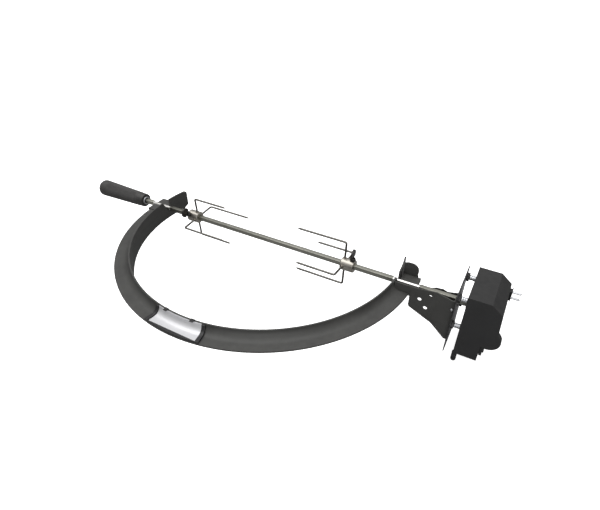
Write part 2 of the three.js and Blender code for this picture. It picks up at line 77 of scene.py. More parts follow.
# ---------------------------------------------------------------- shader graphs and effects
class ShaderGraph:
    """Adds and joins nodes in one node tree."""

    def __init__(self, tree: bpy.types.NodeTree) -> None:
        """Keeps the tree that the nodes go into."""
        self.tree = tree

    def feed(self, socket: bpy.types.NodeSocket, value: object) -> None:
        """Links a socket into another, or sets its value.

        Args:
            socket: the input that is fed.
            value: an output socket, or a plain value.
        """
        if isinstance(value, bpy.types.NodeSocket):
            self.tree.links.new(value, socket)
        else:
            socket.default_value = value

    def add(self, kind: str, settings: Optional[dict] = None, **inputs: object) -> bpy.types.Node:
        """Adds one node.

        Args:
            kind: the node's type name.
            settings: attributes of the node itself.
            inputs: values or sockets, by the input's name with _ for a space.

        Returns:
            The new node.
        """
        node = self.tree.nodes.new(kind)
        for key, value in (settings or {}).items():
            setattr(node, key, value)
        for key, value in inputs.items():
            self.feed(node.inputs[key.replace("_", " ")], value)
        return node

    def calc(self, operation: str, a: object, b: object = 0.0) -> bpy.types.NodeSocket:
        """Adds a Math node.

        Args:
            operation: the node's operation.
            a: its first value or socket.
            b: its second value or socket.

        Returns:
            The result's socket.
        """
        node = self.add("ShaderNodeMath", {"operation": operation})
        self.feed(node.inputs[0], a)
        self.feed(node.inputs[1], b)
        return node.outputs[0]

    def ramp(self, value: object, low: float, high: float, start: float = 0.0,
             end: float = 1.0) -> bpy.types.NodeSocket:
        """Maps a value from one range to another, clamped.

        Args:
            value: the socket that is read.
            low: the value that gives start.
            high: the value that gives end.
            start: the result at low.
            end: the result at high.

        Returns:
            The mapped value's socket.
        """
        node = self.add("ShaderNodeMapRange", {"clamp": True})
        for index, item in enumerate((value, low, high, start, end)):
            self.feed(node.inputs[index], item)
        return node.outputs[0]

    def blend(self, share: object, a: object, b: object) -> bpy.types.NodeSocket:
        """Mixes two colours.

        Args:
            share: how much of b there is, from 0 to 1.
            a: the first colour.
            b: the second colour.

        Returns:
            The mixed colour's socket.
        """
        node = self.add("ShaderNodeMix", {"data_type": "RGBA"})
        self.feed(node.inputs[0], share)
        for index, item in ((6, a), (7, b)):
            self.feed(node.inputs[index], (*item, 1.0) if isinstance(item, tuple) else item)
        return node.outputs[2]


class Effect(Enum):
    """The surface effects that several finishes share."""

    GRAIN = "fine_grain"
    MOTTLE = "slow_mottle"
    LAY = "machined_lay"
    WEAR = "edge_wear"
    DUST = "settled_dust"


EFFECT_SOCKETS = {
    Effect.GRAIN: ({"Vector": "Vector", "Scale": "Float"}, {"Height": "Float", "Tone": "Float"}),
    Effect.MOTTLE: ({"Vector": "Vector", "Scale": "Float"}, {"Tone": "Float"}),
    Effect.LAY: ({"Vector": "Vector", "Stretch": "Vector"}, {"Height": "Float", "Tone": "Float"}),
    Effect.WEAR: ({"Vector": "Vector", "Radius": "Float", "Amount": "Float"}, {"Mask": "Float"}),
    Effect.DUST: ({"Vector": "Vector", "Amount": "Float"}, {"Mask": "Float"}),
}


class EffectLibrary:
    """Builds each shared effect once, as a shader node group."""

    def __init__(self) -> None:
        """Starts with no groups built."""
        self.built: dict[Effect, bpy.types.NodeTree] = {}

    def group(self, effect: Effect) -> bpy.types.NodeTree:
        """Gives an effect's node group.

        Args:
            effect: the effect that is wanted.

        Returns:
            The node group, built on its first use.
        """
        if effect in self.built:
            return self.built[effect]
        tree = bpy.data.node_groups.new(effect.value, "ShaderNodeTree")
        inputs, outputs = EFFECT_SOCKETS[effect]
        for names, side in ((inputs, "INPUT"), (outputs, "OUTPUT")):
            for name, kind in names.items():
                tree.interface.new_socket(name, in_out=side, socket_type=f"NodeSocket{kind}")
        graph = ShaderGraph(tree)
        given = tree.nodes.new("NodeGroupInput").outputs
        made = {
            Effect.GRAIN: self._grain, Effect.MOTTLE: self._mottle, Effect.LAY: self._lay,
            Effect.WEAR: self._wear, Effect.DUST: self._dust,
        }[effect](graph, given)
        result = tree.nodes.new("NodeGroupOutput")
        for name, socket in made.items():
            graph.feed(result.inputs[name], socket)
        self.built[effect] = tree
        return tree

    def place(self, graph: ShaderGraph, effect: Effect, **inputs: object) -> bpy.types.Node:
        """Places an effect in a material.

        Args:
            graph: the material's graph.
            effect: the effect that is placed.
            inputs: values or sockets for the group's inputs.

        Returns:
            The group's node in the material.
        """
        node = graph.tree.nodes.new("ShaderNodeGroup")
        node.node_tree = self.group(effect)
        for key, value in inputs.items():
            graph.feed(node.inputs[key], value)
        return node

    @staticmethod
    def _grain(graph: ShaderGraph, given: bpy.types.NodeOutputs) -> dict:
        """Fine pebbled grain: rounded cells softened by noise."""
        cells = graph.add("ShaderNodeTexVoronoi", {"feature": "SMOOTH_F1"},
                          Vector=given["Vector"], Scale=given["Scale"])
        noise = graph.add("ShaderNodeTexNoise", Vector=given["Vector"], Scale=given["Scale"],
                          Detail=3.0)
        rounded = graph.calc("SUBTRACT", 1.0, cells.outputs["Distance"])
        height = graph.calc("MULTIPLY", graph.calc("ADD", rounded, noise.outputs[0]), 0.5)
        return {"Height": height, "Tone": noise.outputs[0]}

    @staticmethod
    def _mottle(graph: ShaderGraph, given: bpy.types.NodeOutputs) -> dict:
        """Slow cloudy variation of a surface, from 0 to 1."""
        noise = graph.add("ShaderNodeTexNoise", Vector=given["Vector"], Scale=given["Scale"],
                          Detail=5.0, Roughness=0.6)
        return {"Tone": graph.ramp(noise.outputs[0], 0.32, 0.68)}

    @staticmethod
    def _lay(graph: ShaderGraph, given: bpy.types.NodeOutputs) -> dict:
        """The fine parallel marks that drawing, brushing or turning leaves."""
        turned = graph.add("ShaderNodeMapping", Vector=given["Vector"], Scale=given["Stretch"])
        noise = graph.add("ShaderNodeTexNoise", Vector=turned.outputs[0], Scale=1.0, Detail=4.0,
                          Roughness=0.65)
        return {"Height": noise.outputs[0], "Tone": graph.ramp(noise.outputs[0], 0.3, 0.7)}

    @staticmethod
    def _wear(graph: ShaderGraph, given: bpy.types.NodeOutputs) -> dict:
        """A broken band along outer edges, where handling rubs a surface."""
        rounded = graph.add("ShaderNodeBevel", {"samples": 4}, Radius=given["Radius"])
        true = graph.add("ShaderNodeNewGeometry")
        facing = graph.add("ShaderNodeVectorMath", {"operation": "DOT_PRODUCT"})
        graph.feed(facing.inputs[0], rounded.outputs[0])
        graph.feed(facing.inputs[1], true.outputs["Normal"])
        turn = graph.calc("SUBTRACT", 1.0, facing.outputs["Value"])
        noise = graph.add("ShaderNodeTexNoise", Vector=given["Vector"], Scale=320.0, Detail=5.0)
        broken = graph.ramp(noise.outputs[0], 0.38, 0.66)
        band = graph.ramp(turn, 0.02, 0.22)
        mask = graph.calc("MULTIPLY", graph.calc("MULTIPLY", band, broken), given["Amount"])
        return {"Mask": graph.calc("MINIMUM", mask, 1.0)}

    @staticmethod
    def _dust(graph: ShaderGraph, given: bpy.types.NodeOutputs) -> dict:
        """Thin dust on what faces up."""
        true = graph.add("ShaderNodeNewGeometry")
        parts = graph.add("ShaderNodeSeparateXYZ", Vector=true.outputs["Normal"])
        up = graph.ramp(parts.outputs["Z"], 0.35, 0.95)
        noise = graph.add("ShaderNodeTexNoise", Vector=given["Vector"], Scale=90.0, Detail=6.0,
                          Roughness=0.7)
        patch = graph.ramp(noise.outputs[0], 0.35, 0.75)
        return {"Mask": graph.calc("MULTIPLY", graph.calc("MULTIPLY", up, patch), given["Amount"])}


EFFECTS = EffectLibrary()


# ---------------------------------------------------------------- finishes
class Lay(Enum):
    """Which way a machined surface's marks run, as the pattern's scale along X, Y and Z."""

    ALONG_X = (45.0, 2400.0, 2400.0)
    AROUND_X = (2600.0, 60.0, 60.0)
    ROLLED = (240.0, 240.0, 900.0)


@dataclass(frozen=True)
class Finish:
    name: str
    slot: str
    colour: Colour
    shade: Colour
    roughness: tuple[float, float]
    metallic: float = 0.0
    grain_scale: float = 1400.0
    grain_depth: float = 0.02
    mottle_scale: float = 26.0
    lay: Optional[Lay] = None
    lay_depth: float = 0.0
    wear: float = 0.0
    wear_radius: float = 0.9
    worn: Colour = (0.3, 0.3, 0.3)
    worn_metallic: float = 0.0
    dust: float = 0.0
    dust_colour: Colour = (0.35, 0.34, 0.32)
    coat: float = 0.0

    def material(self) -> bpy.types.Material:
        """Gives the finish's material.

        Returns:
            The material, built on its first use.
        """
        known = bpy.data.materials.get(self.name)
        if known is not None:
            return known
        made = bpy.data.materials.new(self.name)
        made.use_nodes = True
        graph = ShaderGraph(made.node_tree)
        shader = made.node_tree.nodes["Principled BSDF"]
        place = graph.add("ShaderNodeTexCoord").outputs["Object"]
        grain = EFFECTS.place(graph, Effect.GRAIN, Vector=place, Scale=self.grain_scale)
        mottle = EFFECTS.place(graph, Effect.MOTTLE, Vector=place, Scale=self.mottle_scale)
        tone = mottle.outputs["Tone"]
        height = grain.outputs["Height"]
        depth = self.grain_depth
        if self.lay is not None:
            marks = EFFECTS.place(graph, Effect.LAY, Vector=place, Stretch=self.lay.value)
            tone = graph.calc("ADD", graph.calc("MULTIPLY", tone, 0.45),
                              graph.calc("MULTIPLY", marks.outputs["Tone"], 0.55))
            height = graph.calc("ADD", graph.calc("MULTIPLY", height, 0.3),
                                marks.outputs["Height"])
            depth = self.lay_depth
        colour = graph.blend(tone, self.shade, self.colour)
        gloss = graph.ramp(tone, 0.0, 1.0, *self.roughness)
        if self.wear > 0.0:
            worn = EFFECTS.place(graph, Effect.WEAR, Vector=place, Radius=self.wear_radius * MM,
                                 Amount=self.wear).outputs["Mask"]
            colour = graph.blend(worn, colour, self.worn)
            if self.worn_metallic > 0.0:
                graph.feed(shader.inputs["Metallic"],
                           graph.calc("MULTIPLY", worn, self.worn_metallic))
        if self.dust > 0.0:
            dust = EFFECTS.place(graph, Effect.DUST, Vector=place,
                                 Amount=self.dust).outputs["Mask"]
            colour = graph.blend(dust, colour, self.dust_colour)
            gloss = graph.calc("MINIMUM", graph.calc("ADD", gloss, dust), 1.0)
        if not shader.inputs["Metallic"].is_linked:
            shader.inputs["Metallic"].default_value = self.metallic
        shader.inputs["Coat Weight"].default_value = self.coat
        shader.inputs["Coat Roughness"].default_value = 0.2
        bump = graph.add("ShaderNodeBump", Height=height, Strength=1.0, Distance=depth * MM)
        graph.feed(shader.inputs["Base Color"], colour)
        graph.feed(shader.inputs["Roughness"], gloss)
        graph.feed(shader.inputs["Normal"], bump.outputs[0])
        return made


POWDER_COAT = Finish(
    "black_powder_coat", "ring_paint", (0.052, 0.052, 0.049), (0.036, 0.036, 0.034), (0.44, 0.6),
    grain_scale=1500.0, grain_depth=0.05, wear=0.5, worn=(0.16, 0.16, 0.15), dust=0.05)
BLACK_STEEL = Finish(
    "black_oxide_steel", "black_steel", (0.016, 0.016, 0.016), (0.008, 0.008, 0.009), (0.32, 0.5),
    grain_depth=0.02, wear=0.7, worn=(0.22, 0.21, 0.2), worn_metallic=0.8)
STAINLESS = Finish(
    "drawn_stainless_bar", "stainless", (0.44, 0.435, 0.39), (0.3, 0.3, 0.26), (0.3, 0.46), 1.0,
    lay=Lay.ALONG_X, lay_depth=0.03, wear=0.35, worn=(0.66, 0.65, 0.6))
STAINLESS_ROD = Finish(
    "stainless_rod", "stainless", (0.24, 0.23, 0.21), (0.13, 0.125, 0.115), (0.24, 0.42), 1.0,
    lay=Lay.ALONG_X, lay_depth=0.02, mottle_scale=60.0)
TURNED_STAINLESS = Finish(
    "turned_stainless", "stainless", (0.52, 0.49, 0.44), (0.36, 0.34, 0.3), (0.22, 0.4), 1.0,
    lay=Lay.AROUND_X, lay_depth=0.025, wear=0.4, worn=(0.75, 0.73, 0.7))
POLISHED = Finish(
    "polished_journal", "stainless", (0.86, 0.85, 0.82), (0.74, 0.73, 0.7), (0.12, 0.22), 1.0,
    lay=Lay.AROUND_X, lay_depth=0.012)
WELD = Finish(
    "weld_bead", "stainless", (0.3, 0.27, 0.22), (0.14, 0.12, 0.11), (0.3, 0.5), 1.0,
    grain_scale=700.0, grain_depth=0.12, mottle_scale=240.0)
ZINC = Finish(
    "zinc_plate", "zinc", (0.62, 0.63, 0.64), (0.48, 0.49, 0.52), (0.28, 0.42), 1.0,
    lay=Lay.ROLLED, lay_depth=0.015, mottle_scale=70.0, wear=0.3, worn=(0.75, 0.75, 0.76))
THUMB_ZINC = Finish(
    "black_zinc_wing", "zinc", (0.07, 0.068, 0.065), (0.035, 0.034, 0.033), (0.28, 0.42), 0.9,
    grain_scale=900.0, grain_depth=0.06, mottle_scale=120.0, wear=0.35, worn=(0.3, 0.29, 0.28))
NAMEPLATE_METAL = Finish(
    "brushed_nameplate", "nameplate_metal", (0.7, 0.7, 0.71), (0.6, 0.6, 0.62), (0.34, 0.5),
    0.55, lay=Lay.ALONG_X, lay_depth=0.012, mottle_scale=40.0, coat=0.15)
MOTOR_PLASTIC = Finish(
    "textured_motor_cover", "motor_plastic", (0.016, 0.016, 0.0165), (0.011, 0.011, 0.0115),
    (0.55, 0.7), grain_scale=1900.0, grain_depth=0.07, wear=0.35, wear_radius=1.4,
    worn=(0.07, 0.07, 0.072), dust=0.04)
GRIP_PLASTIC = Finish(
    "ribbed_grip", "grip_plastic", (0.046, 0.044, 0.043), (0.03, 0.029, 0.028), (0.42, 0.58),
    grain_scale=1700.0, grain_depth=0.04, wear=0.4, worn=(0.13, 0.125, 0.12), dust=0.05)
SWITCH_PLASTIC = Finish(
    "smooth_switch_black", "switch_plastic", (0.03, 0.03, 0.032), (0.022, 0.022, 0.024),
    (0.2, 0.32), grain_scale=2400.0, grain_depth=0.01, wear=0.3, worn=(0.08, 0.08, 0.085))
NYLON = Finish(
    "natural_nylon", "nylon", (0.72, 0.7, 0.64), (0.62, 0.6, 0.53), (0.35, 0.5),
    grain_depth=0.02, mottle_scale=90.0)
COPPER = Finish(
    "enamelled_winding", "copper", (0.62, 0.24, 0.08), (0.4, 0.13, 0.04), (0.25, 0.4), 1.0,
    lay=Lay.AROUND_X, lay_depth=0.12, coat=0.6)
LAMINATIONS = Finish(
    "stacked_laminations", "laminations", (0.36, 0.37, 0.38), (0.22, 0.23, 0.25), (0.35, 0.55),
    1.0, lay=Lay.AROUND_X, lay_depth=0.08)


# ---------------------------------------------------------------- solids and pieces
def arc(centre: Point, radius: float, start: float, end: float, steps: int) -> list[Point]:
    """Points along an arc.

    Args:
        centre: the arc's centre.
        radius: its radius.
        start: the first angle, in degrees.
        end: the last angle, in degrees.
        steps: how many stretches it has.

    Returns:
        The points, ends included.
    """
    angles = [math.radians(start + (end - start) * i / steps) for i in range(steps + 1)]
    return [(centre[0] + radius * math.cos(a), centre[1] + radius * math.sin(a)) for a in angles]


def everything(solid: bmesh.types.BMesh) -> list:
    """Every vertex, edge and face of a mesh."""
    return [*solid.verts, *solid.edges, *solid.faces]


def outward(solid: bmesh.types.BMesh) -> bmesh.types.BMesh:
    """Turns every face of a closed mesh outwards, after its doubles are merged."""
    bmesh.ops.remove_doubles(solid, verts=solid.verts, dist=MERGE_DISTANCE)
    bmesh.ops.recalc_face_normals(solid, faces=solid.faces)
    return solid


def turned(profile: Sequence[Point], segments: int = 64) -> bmesh.types.BMesh:
    """Turns a profile round the X axis into a closed solid.

    Args:
        profile: points of (x, radius), which start and end on the axis or meet each other.
        segments: how many steps the turn has.

    Returns:
        The solid.
    """
    solid = bmesh.new()
    points = [solid.verts.new((x, 0.0, r)) for x, r in profile]
    edges = [solid.edges.new(pair) for pair in zip(points, points[1:])]
    bmesh.ops.spin(solid, geom=[*points, *edges], cent=(0, 0, 0), axis=(1, 0, 0),
                   angle=2 * math.pi, steps=segments, use_merge=True)
    return outward(solid)


def swept(path: Sequence[Vector], radii: Sequence[float], sides: int) -> bmesh.types.BMesh:
    """Sweeps a round section along a path in the XZ plane.

    Args:
        path: the points that it follows.
        radii: the section's radius at each point.
        sides: how many sides the section has.

    Returns:
        The closed rod.
    """
    stations = []
    for i, (point, radius) in enumerate(zip(path, radii)):
        along = (path[min(i + 1, len(path) - 1)] - path[max(i - 1, 0)]).normalized()
        across = Vector((0, 1, 0))
        turn = Matrix((across.cross(along), across, along)).transposed().to_4x4()
        stations.append(Matrix.Translation(point) @ turn @ Matrix.Scale(radius, 4))
    solid = bmesh.new()
    bmesh.ops.create_circle(solid, cap_ends=False, radius=1.0, segments=sides)
    edges = solid.edges[:]
    bmesh.ops.transform(solid, matrix=stations[0], verts=solid.verts)
    for before, after in zip(stations, stations[1:]):
        made = bmesh.ops.extrude_edge_only(solid, edges=edges)["geom"]
        edges = [g for g in made if isinstance(g, bmesh.types.BMEdge)]
        verts = [g for g in made if isinstance(g, bmesh.types.BMVert)]
        bmesh.ops.transform(solid, matrix=after @ before.inverted(), verts=verts)
    bmesh.ops.edgeloop_fill(solid, edges=[e for e in solid.edges if e.is_boundary])
    return outward(solid)


def strip(section: Sequence[Point], start: float, end: float, steps: int) -> bmesh.types.BMesh:
    """Spins a closed section round the Z axis through part of a turn.

    Args:
        section: points of (radius, z).
        start: the first angle from the front, in degrees.
        end: the last angle from the front.
        steps: how many steps the turn has.

    Returns:
        The closed solid.
    """
    solid = bmesh.new()
    points = [solid.verts.new((r, 0.0, z)) for r, z in section]
    edges = [solid.edges.new(pair) for pair in zip(points, [*points[1:], points[0]])]
    bmesh.ops.rotate(solid, verts=points, cent=(0, 0, 0),
                     matrix=Matrix.Rotation(math.radians(start - 90), 3, "Z"))
    bmesh.ops.spin(solid, geom=[*points, *edges], cent=(0, 0, 0), axis=(0, 0, 1),
                   angle=math.radians(end - start), steps=steps)
    bmesh.ops.remove_doubles(solid, verts=solid.verts, dist=MERGE_DISTANCE)
    bmesh.ops.edgeloop_fill(solid, edges=[e for e in solid.edges if e.is_boundary])
    return outward(solid)


def bar(low: Sequence[float], high: Sequence[float], rounding: float) -> bmesh.types.BMesh:
    """A box with rounded edges between two corners.

    Args:
        low: its lowest corner.
        high: its highest corner.
        rounding: the radius of its edges.

    Returns:
        The solid.
    """
    solid = bmesh.new()
    sizes = [b - a for a, b in zip(low, high)]
    middle = Vector([(a + b) / 2 for a, b in zip(low, high)])
    bmesh.ops.create_cube(solid, size=1.0)
    bmesh.ops.scale(solid, vec=sizes, verts=solid.verts)
    bmesh.ops.translate(solid, vec=middle, verts=solid.verts)
    bmesh.ops.bevel(solid, geom=solid.edges[:], offset=rounding, affect="EDGES", segments=3,
                    profile=0.5, material=-1)
    return outward(solid)


def moved(solid: bmesh.types.BMesh, matrix: Matrix) -> bmesh.types.BMesh:
    """Moves a solid by a matrix."""
    bmesh.ops.transform(solid, matrix=matrix, verts=solid.verts)
    return solid


def shift(x: float, y: float, z: float) -> Matrix:
    """A move without a turn."""
    return Matrix.Translation((x, y, z))


def about_x(degrees: float) -> Matrix:
    """A turn about the X axis."""
    return Matrix.Rotation(math.radians(degrees), 4, "X")


@dataclass
class Rounding:
    """How a piece's sharp edges are rounded."""

    width: float = 0.4
    segments: int = 2
    limit: float = 38.0

    def put_on(self, piece: bpy.types.Object) -> None:
        """Adds the rounding to a piece as a Bevel modifier."""
        modifier = piece.modifiers.new("rounding", "BEVEL")
        modifier.width = self.width * MM
        modifier.segments = self.segments
        modifier.profile = 0.5
        modifier.limit_method = "ANGLE"
        modifier.angle_limit = math.radians(self.limit)
        modifier.use_clamp_overlap = True


def complete(name: str, solids: Iterable[bmesh.types.BMesh], finish: Finish, body: str,
             stands_for: Sequence[str] = (), rounding: Optional[Rounding] = None,
             second: Optional[tuple[Finish, Callable]] = None) -> bpy.types.Object:
    """Turns solids into one finished piece that rides on a body.

    Args:
        name: the piece's name.
        solids: closed solids, in millimetres.
        finish: the finish over the whole piece.
        body: the body that it moves with.
        stands_for: the nodes that it replaces.
        rounding: how its sharp edges are rounded.
        second: another finish, with a test that says which faces take it.

    Returns:
        The finished piece.
    """
    whole = bmesh.new()
    for solid in solids:
        bmesh.ops.scale(solid, vec=(MM, MM, MM), verts=solid.verts)
        part = bpy.data.meshes.new("part")
        solid.to_mesh(part)
        solid.free()
        whole.from_mesh(part)
        bpy.data.meshes.remove(part)
    if second is not None:
        for face in whole.faces:
            face.material_index = 1 if second[1](face) else 0
    mesh = bpy.data.meshes.new(name)
    whole.to_mesh(mesh)
    whole.free()
    mesh.polygons.foreach_set("use_smooth", [True] * len(mesh.polygons))
    mesh.set_sharp_from_angle(angle=math.radians(SMOOTH_ANGLE))
    piece = bpy.data.objects.new(name, mesh)
    bpy.context.scene.collection.objects.link(piece)
    mesh.materials.append(finish.material())
    if second is not None:
        mesh.materials.append(second[0].material())
    if rounding is not None:
        rounding.put_on(piece)
    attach(piece, body)
    if stands_for:
        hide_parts(*stands_for)
    LOG.info("%s: %d faces on %s, %s", name, len(mesh.polygons), body, finish.name)
    return piece


def softened(node: str, finish: Finish, rounding: Rounding,
             second: Optional[tuple[Finish, Callable]] = None) -> bpy.types.Object:
    """Makes a finished piece from a node's own shape, with its edges rounded.

    Args:
        node: the node that the piece stands for.
        finish: its finish.
        rounding: how its edges are rounded.
        second: another finish, with a test that says which faces take it.

    Returns:
        The finished piece.
    """
    source = frame["nodes"][node]
    solid = bmesh.new()
    solid.from_mesh(source.data)
    bmesh.ops.remove_doubles(solid, verts=solid.verts, dist=NODE_MERGE_DISTANCE)
    bmesh.ops.dissolve_limit(solid, angle_limit=math.radians(FLAT_ANGLE), verts=solid.verts,
                             edges=solid.edges)
    bmesh.ops.scale(solid, vec=(1 / MM,) * 3, verts=solid.verts)
    return complete(f"{node}_finished", [solid], finish, source["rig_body"], (node,), rounding,
                    second)


# ---------------------------------------------------------------- half ring and nameplate
@dataclass
class CovedRing:
    """The half ring, its nameplate, and the saddles and plates welded to its ends."""

    body: str = "ring_and_motor"
    inner: float = 249.4
    wall: float = 3.0
    flange: float = 278.3
    top: float = 16.0
    bottom: float = -22.6
    half_flange: float = 1.5
    cove_radius: float = 14.0
    land: float = 2.4
    cove_end: float = -25.3
    wall_end: float = 53.5
    corner: float = 6.0
    chamfer: float = 11.0
    slot: tuple[float, float, float] = (-13.0, 6.0, 5.0)
    segments: int = 256
    gap: float = 0.3
    plate_half_angle: float = 9.2
    plate_thickness: float = 1.2
    plate_outer: float = 276.4
    plate_edge: float = -272.8
    window_half_angle: float = 9.28
    frame_half_angle: float = 10.6
    frame_thickness: float = 3.2
    frame_outer: float = 278.1
    lip_inner: float = 268.0
    weld_reach: int = 20
    weld_pitch: int = 2
    weld_height: float = -6.4
    bead_size: tuple[float, float, float] = (1.7, 1.6, 1.5)

    def cove(self, radius: float) -> list[Point]:
        """The cove's quarter circle, from the flange up to the rim."""
        centre = (self.inner + self.land + self.cove_radius, self.half_flange + self.cove_radius)
        return arc(centre, radius, 270, 180, 18)

    def ring_solid(self) -> bmesh.types.BMesh:
        """The part of the ring with the cove, cut off square at both ends.

        Returns:
            The solid.
        """
        wall = self.inner + self.wall
        section = [
            (self.inner, self.bottom), (wall, self.bottom), (wall, -self.half_flange),
            (self.flange, -self.half_flange), (self.flange, self.half_flange),
            *self.cove(self.cove_radius), (self.inner + self.land, self.top),
            (self.inner, self.top),
        ]
        solid = bmesh.new()
        points = [solid.verts.new((r, 0.0, z)) for r, z in section]
        edges = [solid.edges.new(pair) for pair in zip(points, [*points[1:], points[0]])]
        bmesh.ops.spin(solid, geom=[*points, *edges], cent=(0, 0, 0), axis=(0, 0, 1),
                       angle=2 * math.pi, steps=self.segments, use_merge=True)
        bmesh.ops.remove_doubles(solid, verts=solid.verts, dist=MERGE_DISTANCE)
        bmesh.ops.bisect_plane(solid, geom=everything(solid), dist=MERGE_DISTANCE,
                               plane_co=(0, self.cove_end, 0), plane_no=(0, 1, 0),
                               clear_outer=True)
        bmesh.ops.edgeloop_fill(solid, edges=[e for e in solid.edges if e.is_boundary])
        return outward(solid)

    def wall_solid(self, side: int) -> bmesh.types.BMesh:
        """The plain wall that runs on past the cove, with the spit's open slot.

        Args:
            side: 1 for the motor's end, -1 for the grip's.

        Returns:
            The solid.
        """
        front, back, radius = self.slot
        end, corner = self.wall_end, self.corner
        edge = [
            (self.cove_end, self.bottom), (end - self.chamfer, self.bottom),
            (end, self.bottom + 0.6 * self.chamfer),
            *arc((end - corner, self.top - corner), corner, 0, 90, 8),
            (back, self.top), (radius, 0.0), *arc((0, 0), radius, 350, 190, 14), (-radius, 0.0),
            (front, self.top), (self.cove_end, self.top),
        ]
        solid = bmesh.new()
        solid.faces.new([solid.verts.new((0.0, y, z)) for y, z in edge])
        for y in range(-20, 55, 5):
            bmesh.ops.bisect_plane(solid, geom=everything(solid), dist=MERGE_DISTANCE,
                                   plane_co=(0, y + 0.1, 0), plane_no=(0, 1, 0))
        made = bmesh.ops.extrude_face_region(solid, geom=solid.faces[:])
        outer = [g for g in made["geom"] if isinstance(g, bmesh.types.BMVert)]
        bmesh.ops.translate(solid, verts=outer, vec=(self.wall, 0, 0))
        for vertex in solid.verts:
            radius_here = self.inner + vertex.co.x
            vertex.co.x = side * math.sqrt(radius_here ** 2 - vertex.co.y ** 2)
        return outward(solid)

    def cove_strip(self, low: float, high: float, outer: float) -> list[Point]:
        """The section of a strip that lies in the cove.

        Args:
            low: its underside's height over the cove's face.
            high: its face's height over the cove's face.
            outer: the radius of its outer edge.

        Returns:
            The section's points.
        """
        base = self.half_flange
        return [
            *reversed(self.cove(self.cove_radius - low)), (outer, base + low),
            (outer, base + high), *self.cove(self.cove_radius - high),
        ]

    def build_ring(self) -> None:
        """Builds the ring from its coved part and its two plain ends."""
        solids = [self.ring_solid(), self.wall_solid(1), self.wall_solid(-1)]
        complete("half_ring_coved", solids, POWDER_COAT, self.body, ("half_ring",),
                 Rounding(0.6, 3, 40))

    @staticmethod
    def cut_straight(solid: bmesh.types.BMesh, y: float, keep_front: bool) -> bmesh.types.BMesh:
        """Cuts a solid along a straight line across its front.

        Args:
            solid: the solid that is cut.
            y: where the cut lies.
            keep_front: whether the part in front of the cut stays, or the part behind it.

        Returns:
            The part that stays, closed again.
        """
        bmesh.ops.bisect_plane(solid, geom=everything(solid), dist=MERGE_DISTANCE,
                               plane_co=(0, y, 0),
                               plane_no=(0, 1, 0), clear_outer=keep_front,
                               clear_inner=not keep_front)
        bmesh.ops.edgeloop_fill(solid, edges=[e for e in solid.edges if e.is_boundary])
        return outward(solid)

    def build_nameplate(self) -> None:
        """Builds the blank nameplate, its black frame and the clips over its top edge."""
        half, window = self.plate_half_angle, self.window_half_angle
        section = self.cove_strip(self.gap, self.gap + self.plate_thickness, self.plate_outer)
        blank = self.cut_straight(strip(section, -half, half, 28), self.plate_edge, False)
        complete("nameplate_blank", [blank], NAMEPLATE_METAL, self.body, ("nameplate",),
                 Rounding(0.35, 2))
        end_section = self.cove_strip(self.gap, self.frame_thickness, self.frame_outer)
        low, high = self.half_flange + self.gap, self.half_flange + self.frame_thickness
        lip = [(self.lip_inner, low), (self.frame_outer, low),
               (self.frame_outer, high), (self.lip_inner, high)]
        front_lip = self.cut_straight(strip(lip, -window, window, 28),
                                      self.plate_edge - self.gap, True)
        solids = [
            strip(end_section, -self.frame_half_angle, -window, 4),
            strip(end_section, window, self.frame_half_angle, 4),
            front_lip,
        ]
        complete("nameplate_frame_lips", solids, BLACK_STEEL, self.body, ("nameplate_frame",),
                 Rounding(0.5, 3))
        for side in ("left", "right"):
            softened(f"nameplate_clip_{side}", BLACK_STEEL, Rounding(0.3))

    def build_ends(self) -> None:
        """Finishes the saddles, the end plate and the ear."""
        for node, width in (("left_saddle", 0.6), ("right_saddle", 0.6), ("right_end_plate", 0.4),
                            ("right_rear_ear", 0.4)):
            softened(node, POWDER_COAT, Rounding(width, 3))

    def build_welds(self) -> None:
        """Lays the painted weld beads under the saddles, where they meet the wall."""
        for name, side in (("left", -1), ("right", 1)):
            wall = self.inner + self.wall
            beads = []
            for start in range(-self.weld_reach, self.weld_reach + 1, self.weld_pitch):
                x = side * (math.sqrt(wall ** 2 - start ** 2) + 0.5)
                bead = bmesh.new()
                bmesh.ops.create_uvsphere(bead, u_segments=12, v_segments=8, radius=1.0)
                bmesh.ops.scale(bead, vec=self.bead_size, verts=bead.verts)
                beads.append(moved(bead, shift(x, start, self.weld_height)))
            complete(f"{name}_saddle_weld", beads, POWDER_COAT, self.body)

    def build(self) -> None:
        """Builds the whole ring."""
        self.build_ring()
        self.build_nameplate()
        self.build_ends()
        self.build_welds()


